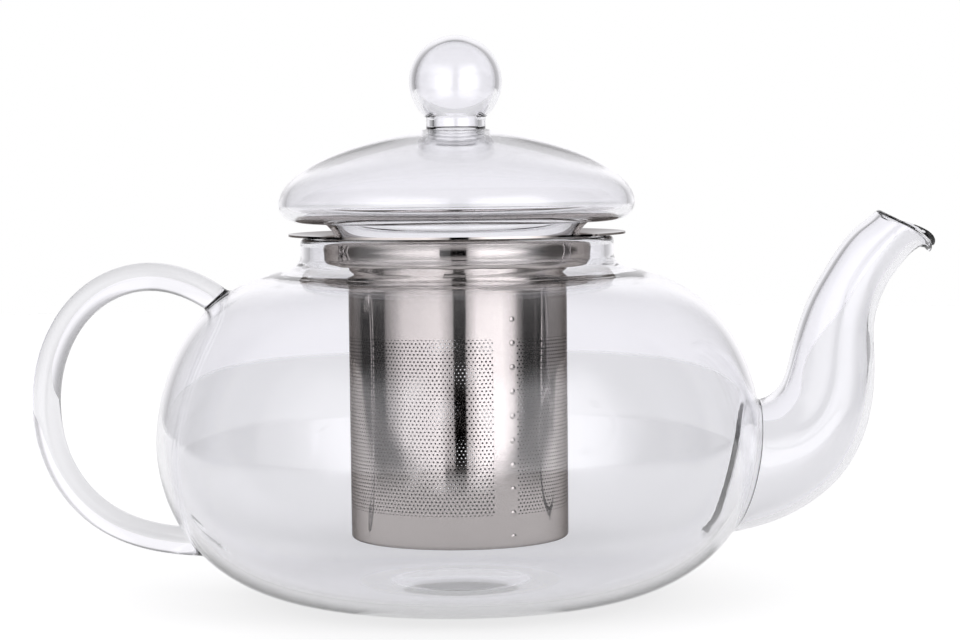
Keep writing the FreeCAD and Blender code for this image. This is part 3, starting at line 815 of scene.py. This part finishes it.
def weld_spots_tree():
    """A row of low round spots up the tube's seam."""
    tree, given = new_sheet_tree("weld_spots", {
        "Radius": "NodeSocketFloat", "Angle": "NodeSocketFloat", "First": "NodeSocketFloat",
        "Step": "NodeSocketFloat", "Spots": "NodeSocketInt", "Spot Radius": "NodeSocketFloat",
        "Spot Height": "NodeSocketFloat", "Metal": "NodeSocketMaterial"})
    index = add_node(tree, "GeometryNodeInputIndex")
    height = add_node(tree, "Math", {"operation": "MULTIPLY_ADD"}, {
        0: index, 1: given["Step"], 2: given["First"]})
    turn = add_node(tree, "CombineXYZ", {}, {2: given["Angle"]})
    rotation = add_node(tree, "FunctionNodeEulerToRotation", {}, {0: turn})
    out = add_node(tree, "CombineXYZ", {}, {0: given["Radius"]})
    around = add_node(tree, "VectorRotate", {"rotation_type": "Z_AXIS"}, {
        "Vector": out, "Angle": given["Angle"]})
    level = add_node(tree, "CombineXYZ", {}, {2: height})
    position = add_node(tree, "VectorMath", {"operation": "ADD"}, {0: around, 1: level})
    points = add_node(tree, "GeometryNodePoints", {}, {"Count": given["Spots"], "Position": position})
    ball = add_node(tree, "GeometryNodeMeshUVSphere", {"Segments": 16, "Rings": 10, "Radius": 1.0})
    size = add_node(tree, "CombineXYZ", {}, {
        0: given["Spot Height"], 1: given["Spot Radius"], 2: given["Spot Radius"]})
    laid = add_node(tree, "GeometryNodeInstanceOnPoints", {}, {
        "Points": points, "Instance": ball, "Rotation": rotation,
        "Scale": size})
    real = add_node(tree, "GeometryNodeRealizeInstances", {}, {"Geometry": laid})
    metal = add_node(tree, "GeometryNodeSetMaterial", {}, {"Geometry": real, "Material": given["Metal"]})
    add_node(tree, "NodeGroupOutput", {}, {"Sheet": metal})
    return tree


def grown(name, tree, sizes):
    """A plain mesh made by a tree with the given sizes, on an object at the origin."""
    source = bpy.data.objects.new(name + "_source", bpy.data.meshes.new(name + "_source"))
    bpy.context.scene.collection.objects.link(source)
    modifier = source.modifiers.new("sheet", "NODES")
    modifier.node_group = tree
    for item in tree.interface.items_tree:
        if item.in_out == "INPUT":
            modifier[item.identifier] = sizes[item.name]
    evaluated = source.evaluated_get(bpy.context.evaluated_depsgraph_get())
    mesh = bpy.data.meshes.new_from_object(evaluated)
    bpy.data.objects.remove(source)
    mesh.name = name
    mesh.polygons.foreach_set("use_smooth", [True] * len(mesh.polygons))
    mesh.set_sharp_from_angle(angle=SHARP_FROM)
    piece = bpy.data.objects.new(name, mesh)
    bpy.context.scene.collection.objects.link(piece)
    return piece


def make_bands(material):
    """The tube's plain ends: the band up to its lip, and the band that turns into its floor."""
    r = BASKET_RADIUS + BAND_STAND_OUT
    r_in = BASKET_RADIUS - BASKET_SHEET - BAND_STAND_OUT
    lip = LEDGE_HEIGHT + STEEL_SHEET + BASKET_TOP_LIP
    last_row = FIRST_ROW + (ROWS - 1) * ROW_RISE
    inner_bend = BASKET_BEND - BASKET_SHEET
    hole = FLOOR_HOLES_RADIUS - FLOOR_OVERLAP
    half = BASKET_SHEET / 2 + BAND_STAND_OUT
    upper = joined(straight((r, last_row), (r, lip - BASKET_SHEET / 2), 6),
                   arc((r - half, lip - half), half, 0, 180, 8),
                   straight((r_in, lip - half), (r_in, last_row), 6),
                   straight((r_in, last_row), (r, last_row), 1))
    lower = joined(rounded([(r, FIRST_ROW), (r, BASKET_FLOOR), (hole, BASKET_FLOOR)], [BASKET_BEND]),
                   rounded([(hole, BASKET_FLOOR + BASKET_SHEET), (r_in, BASKET_FLOOR + BASKET_SHEET),
                            (r_in, FIRST_ROW)], [inner_bend]), straight((r_in, FIRST_ROW), (r, FIRST_ROW), 1))
    points, faces = turned(upper, LID_AROUND)
    more_points, more_faces = turned(lower, LID_AROUND)
    faces += [tuple(len(points) + k for k in face) for face in more_faces]
    piece = make_piece("infuser_tube_bands", np.vstack([points, more_points]), faces, material)
    piece.data.set_sharp_from_angle(angle=SHARP_FROM)
    return piece


def make_basket(material, inside_painted_shade_material):
    """The infuser's tube and floor: plain bands, perforated halves and floor, and the seam's weld spots."""
    wall = perforated_wall_tree()
    sizes = {"Radius": (BASKET_RADIUS - BASKET_SHEET) * MM, "Thickness": BASKET_SHEET * MM,
             "Hole Radius": HOLE_RADIUS * MM, "Row Rise": ROW_RISE * MM, "First Row": FIRST_ROW * MM,
             "Columns Around": COLUMNS, "Columns": COLUMNS // 2, "Rows": ROWS,
             "Metal": material, "Inside Metal With Painted Shade": inside_painted_shade_material}
    pieces = [make_bands(material)]
    for number, name in enumerate(("infuser_tube_seam_half", "infuser_tube_far_half")):
        sizes["First Angle"] = SEAM_START + number * math.pi
        sizes["Plain Columns"] = SEAM_COLUMNS if number == 0 else 0
        pieces.append(grown(name, wall, sizes))
    pieces.append(grown("infuser_floor_holes", perforated_floor_tree(), {
        "Disc Radius": FLOOR_HOLES_RADIUS * MM, "Thickness": (BASKET_SHEET - 2 * FLOOR_INSET) * MM,
        "Hole Radius": HOLE_RADIUS * MM, "Pitch": FULL_TURN * BASKET_RADIUS / COLUMNS * MM,
        "Height": (BASKET_FLOOR + FLOOR_INSET) * MM, "Across": FLOOR_CELLS_ACROSS, "Metal": material,
        "Inside Metal With Painted Shade": inside_painted_shade_material}))
    pieces.append(grown("infuser_seam_welds", weld_spots_tree(), {
        "Radius": BASKET_RADIUS * MM, "Angle": WELD_SPOT_ANGLE, "First": WELD_SPOT_FOOT * MM,
        "Step": WELD_SPOT_STEP * MM, "Spots": WELD_SPOTS, "Spot Radius": WELD_SPOT_RADIUS * MM,
        "Spot Height": WELD_SPOT_HEIGHT * MM, "Metal": material}))
    for piece in pieces:
        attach(piece, "infuser")
    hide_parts("infuser_tube", "infuser_bottom")


# --- materials
def srgb(code):
    """The linear colour of an sRGB hex value."""
    parts = [int(code[i:i + 2], 16) / 255 for i in (1, 3, 5)]
    return tuple(p / 12.92 if p <= 0.04045 else ((p + 0.055) / 1.055) ** 2.4 for p in parts) + (1.0,)


def add_node(tree, kind, settings=(), links=()):
    """One node, with its properties and socket values set and its inputs linked to sockets or nodes.

    A kind that names no family of nodes is one of the ShaderNode family.
    """
    node = tree.nodes.new(kind if "Node" in kind else "ShaderNode" + kind)
    for name, value in dict(settings).items():
        if isinstance(name, int) or name in node.inputs:
            node.inputs[name].default_value = value
        else:
            setattr(node, name, value)
    for socket, source in dict(links).items():
        output = source.outputs[0] if isinstance(source, bpy.types.Node) else source
        tree.links.new(output, node.inputs[socket])
    return node


def new_material(name):
    material = bpy.data.materials.new(name)
    material.use_nodes = True
    material.node_tree.nodes.clear()
    return material, material.node_tree


def borosilicate_glass():
    """Clear blown borosilicate, fire polished: mirror-smooth, faintly grey at its thick edges."""
    material, tree = new_material("borosilicate_glass_blown")
    glass = add_node(tree, "BsdfPrincipled", {
        "Base Color": srgb("#FBFBFD"), "Roughness": 0.0, "IOR": 1.47, "Transmission Weight": 1.0})
    clear = add_node(tree, "BsdfTransparent", {"Color": srgb("#FCFCFD")})
    path = add_node(tree, "LightPath")
    mix = add_node(tree, "MixShader", {}, {0: path.outputs["Is Shadow Ray"], 1: glass, 2: clear})
    add_node(tree, "OutputMaterial", {}, {"Surface": mix})
    return material


def rubbed(tree, grain, depth):
    """Fine polishing lines that run around the axis, as a bump: grain in millimetres between lines."""
    place = add_node(tree, "TexCoord")
    parts = add_node(tree, "SeparateXYZ", {}, {0: place.outputs["Object"]})
    level = add_node(tree, "CombineXYZ", {}, {0: parts.outputs["X"], 1: parts.outputs["Y"]})
    radius = add_node(tree, "VectorMath", {"operation": "LENGTH"}, {0: level})
    lines = add_node(tree, "CombineXYZ", {}, {0: radius.outputs["Value"], 2: parts.outputs["Z"]})
    noise = add_node(tree, "TexNoise", {"Scale": 1 / (grain * MM), "Detail": 2.0}, {0: lines})
    return add_node(tree, "Bump", {"Strength": 1.0, "Distance": depth * MM}, {"Height": noise})


def stainless_polished():
    """Stainless sheet, spun and buffed: near-mirror, warm grey, with the faintest turning lines."""
    material, tree = new_material("stainless_steel_spun_and_buffed")
    lines = rubbed(tree, grain=0.9, depth=0.0012)
    steel = add_node(tree, "BsdfPrincipled", {
        "Base Color": srgb("#B8B2AE"), "Roughness": 0.04, "Metallic": 1.0,
        "Specular Tint": srgb("#A09C9A")}, {"Normal": lines})
    add_node(tree, "OutputMaterial", {}, {"Surface": steel})
    return material


def stainless_rolled():
    """Thin stainless sheet, punched and rolled to a tube: bright, but a little wavy up its length."""
    material, tree = new_material("stainless_steel_punched_and_rolled")
    place = add_node(tree, "TexCoord")
    stretched = add_node(tree, "Mapping", {"Scale": (1.0, 1.0, 0.12)}, {0: place.outputs["Object"]})
    waves = add_node(tree, "TexNoise", {"Scale": 1 / (9 * MM), "Detail": 3.0, "Roughness": 0.6},
                     {0: stretched})
    bump = add_node(tree, "Bump", {"Strength": 1.0, "Distance": 0.05 * MM}, {"Height": waves})
    steel = add_node(tree, "BsdfPrincipled", {
        "Base Color": srgb("#B8B2AE"), "Roughness": 0.06, "Metallic": 1.0,
        "Specular Tint": srgb("#8C8886")}, {"Normal": bump})
    add_node(tree, "OutputMaterial", {}, {"Surface": steel})
    return material


def stainless_inside_painted_shade():
    """The inside of the tube and of its holes: dull as the mill rolled it, and made darker by painted shade.
    """
    material, tree = new_material("stainless_steel_mill_finish_and_painted_shade")
    lines = rubbed(tree, grain=1.6, depth=0.01)
    # the roughness is the mill's finish; the near-black colour is painted shade
    steel = add_node(tree, "BsdfPrincipled", {
        "Base Color": srgb("#4E4B49"), "Roughness": 0.42, "Metallic": 1.0}, {"Normal": lines})
    add_node(tree, "OutputMaterial", {}, {"Surface": steel})
    return material


# --- studio
def make_camera():
    """At the height and distance of someone seated, looking slightly down, on a long lens."""
    yaw, pitch, roll = CAMERA_TURN
    forward = Vector((math.sin(yaw) * math.cos(pitch), math.cos(yaw) * math.cos(pitch), math.sin(pitch)))
    right = Vector((math.cos(yaw), -math.sin(yaw), 0))
    upward = right.cross(forward)
    side = right * math.cos(roll) - upward * math.sin(roll)
    top = right * math.sin(roll) + upward * math.cos(roll)
    camera = bpy.data.objects.new("camera", bpy.data.cameras.new("camera"))
    bpy.context.scene.collection.objects.link(camera)
    turn = Matrix((side, top, -forward)).transposed().to_4x4()
    camera.matrix_world = Matrix.Translation(Vector(CAMERA_PLACE) * MM) @ turn
    camera.data.sensor_width = CAMERA_SENSOR
    camera.data.lens = CAMERA_LENS
    camera.data.clip_start = 0.01
    camera.data.clip_end = 20
    bpy.context.scene.camera = camera


def table_paper():
    """White paper: plain to the eye but for soft shadows; in mirrors and through glass, painted shade darkens
    it to either side.
    """
    material, tree = new_material("table_paper")
    path = add_node(tree, "LightPath")
    lift = add_node(tree, "Math", {"operation": "MULTIPLY_ADD", 1: PAPER_LIFT, 2: PAPER_GLOW}, {
        0: path.outputs["Is Camera Ray"]})
    place = add_node(tree, "TexCoord")
    parts = add_node(tree, "SeparateXYZ", {}, {0: place.outputs["Object"]})
    across = add_node(tree, "Math", {"operation": "ABSOLUTE"}, {0: parts.outputs["X"]})
    behind = add_node(tree, "Math", {"operation": "MAXIMUM", 1: 0.0}, {0: parts.outputs["Y"]})
    aside = add_node(tree, "Math", {"operation": "SUBTRACT"}, {0: across, 1: behind})
    # painted shade: to every ray but the camera's, the paper's colour and glow fall off to either side of the
    # pot
    shade = add_node(tree, "MapRange", {
        "interpolation_type": "SMOOTHSTEP", "From Min": PAPER_DIM_FROM * MM, "From Max": PAPER_DIM_TO * MM,
        "To Min": 1.0, "To Max": PAPER_DIM}, {"Value": aside})
    kept = add_node(tree, "Math", {"operation": "MAXIMUM"}, {0: shade, 1: path.outputs["Is Camera Ray"]})
    lift_there = add_node(tree, "Math", {"operation": "MULTIPLY"}, {0: lift, 1: kept})
    glow = add_node(tree, "Emission", {}, {"Strength": lift_there})
    paint = add_node(tree, "Mix", {"data_type": "RGBA", 6: (0, 0, 0, 1), 7: srgb("#F0F0F0")}, {0: kept})
    paper = add_node(tree, "BsdfDiffuse", {}, {"Color": paint.outputs[2]})
    both = add_node(tree, "AddShader", {}, {0: paper, 1: glow})
    offset = add_node(tree, "VectorMath", {"operation": "DISTANCE", 1: (0, TABLE_BEHIND * MM, 0)}, {
        0: place.outputs["Object"]})
    fade = add_node(tree, "MapRange", {
        "From Min": TABLE_FADE_FROM * MM, "From Max": TABLE_RADIUS * MM}, {"Value": offset.outputs["Value"]})
    gone = add_node(tree, "BsdfTransparent")
    mix = add_node(tree, "MixShader", {}, {0: fade, 1: both, 2: gone})
    add_node(tree, "OutputMaterial", {}, {"Surface": mix})
    return material


def make_table():
    """A round table top that ends in front of the pot, so that the steel mirrors what is beyond it."""
    a = np.arange(TABLE_AROUND) * FULL_TURN / TABLE_AROUND
    rim = [(TABLE_RADIUS * math.cos(k), TABLE_BEHIND + TABLE_RADIUS * math.sin(k), 0) for k in a]
    make_piece("table_top", rim, [range(TABLE_AROUND)], table_paper())


def make_camera_stand():
    """The camera's dark stand, below the table's level: only the tapered collar mirrors it."""
    material, tree = new_material("matt_black_cloth")
    cloth = add_node(tree, "BsdfDiffuse", {"Color": srgb("#0B0B0C")})
    add_node(tree, "OutputMaterial", {}, {"Surface": cloth})
    left, right = STAND_MIDDLE - STAND_WIDTH / 2, STAND_MIDDLE + STAND_WIDTH / 2
    top, foot = STAND_TOP, STAND_TOP - STAND_HEIGHT
    corners = [(x, STAND_FRONT, z) for x, z in ((left, foot), (right, foot), (right, top), (left, top))]
    make_piece("camera_stand", corners, [range(4)], material)


def make_world():
    """White to the eye; lit and mirrored as two tall soft boxes, with dark gaps between and beside them."""
    world = bpy.data.worlds.new("studio")
    bpy.context.scene.world = world
    world.use_nodes = True
    tree = world.node_tree
    tree.nodes.clear()
    way = add_node(tree, "TexCoord")
    parts = add_node(tree, "SeparateXYZ", {}, {0: way.outputs["Generated"]})
    front = add_node(tree, "Math", {"operation": "MULTIPLY", 1: -1.0}, {0: parts.outputs["Y"]})
    angle = add_node(tree, "Math", {"operation": "ARCTAN2"}, {0: parts.outputs["X"], 1: front})
    share = add_node(tree, "Math", {"operation": "MULTIPLY_ADD", 1: 1 / FULL_TURN, 2: 0.5}, {0: angle})
    walls = add_node(tree, "ValToRGB", {}, {0: share})
    ramp = walls.color_ramp
    while len(ramp.elements) > 1:
        ramp.elements.remove(ramp.elements[-1])
    for number, (degrees, strength) in enumerate(SURROUNDINGS):
        stop = ramp.elements[0] if number == 0 else ramp.elements.new(degrees / 360 + 0.5)
        stop.position = degrees / 360 + 0.5
        stop.color = [strength / BRIGHTEST * tint for tint in SURROUNDINGS_TINT] + [1.0]
    high = add_node(tree, "MapRange", {
        "interpolation_type": "SMOOTHSTEP", "From Min": math.sin(math.radians(CEILING_FROM)),
        "From Max": math.sin(math.radians(CEILING_FULL))}, {"Value": parts.outputs["Z"]})
    ceiling = [CEILING / BRIGHTEST * tint for tint in SURROUNDINGS_TINT] + [1.0]
    both = add_node(tree, "Mix", {"data_type": "RGBA", 7: ceiling}, {0: high, 6: walls})
    path = add_node(tree, "LightPath")
    least = add_node(tree, "VectorMath", {
        "operation": "MAXIMUM", 1: [THROUGH_LEAST / BRIGHTEST] * 3}, {0: both.outputs[2]})
    most = add_node(tree, "VectorMath", {
        "operation": "MINIMUM", 1: [THROUGH_MOST / BRIGHTEST] * 3}, {0: least})
    # what is met after a mirror or a matt surface is the whole range, and straight through glass only part
    bounced = add_node(tree, "Math", {"operation": "ADD", "use_clamp": True}, {
        0: path.outputs["Glossy Depth"], 1: path.outputs["Diffuse Depth"]})
    met = add_node(tree, "Mix", {"data_type": "RGBA"}, {0: bounced, 6: most, 7: both.outputs[2]})
    lit = add_node(tree, "Background", {"Strength": BRIGHTEST}, {0: met.outputs[2]})
    seen = add_node(tree, "Background", {"Color": (1, 1, 1, 1), "Strength": 1.0})
    mix = add_node(tree, "MixShader", {}, {0: path.outputs["Is Camera Ray"], 1: lit, 2: seen})
    add_node(tree, "OutputWorld", {}, {"Surface": mix})


def main():
    scene = bpy.context.scene
    scene.view_settings.view_transform = "Standard"
    scene.cycles.max_bounces = LIGHT_BOUNCES
    scene.cycles.transmission_bounces = LIGHT_BOUNCES
    scene.cycles.glossy_bounces = LIGHT_BOUNCES // 2
    scene.cycles.transparent_max_bounces = LIGHT_BOUNCES
    scene.cycles.caustics_reflective = False
    scene.cycles.caustics_refractive = False
    make_camera()
    make_world()
    make_table()
    make_camera_stand()
    glass = borosilicate_glass()
    make_pot(glass)
    make_lid(glass)
    make_collar(stainless_polished())
    make_basket(stainless_rolled(), stainless_inside_painted_shade())


main()
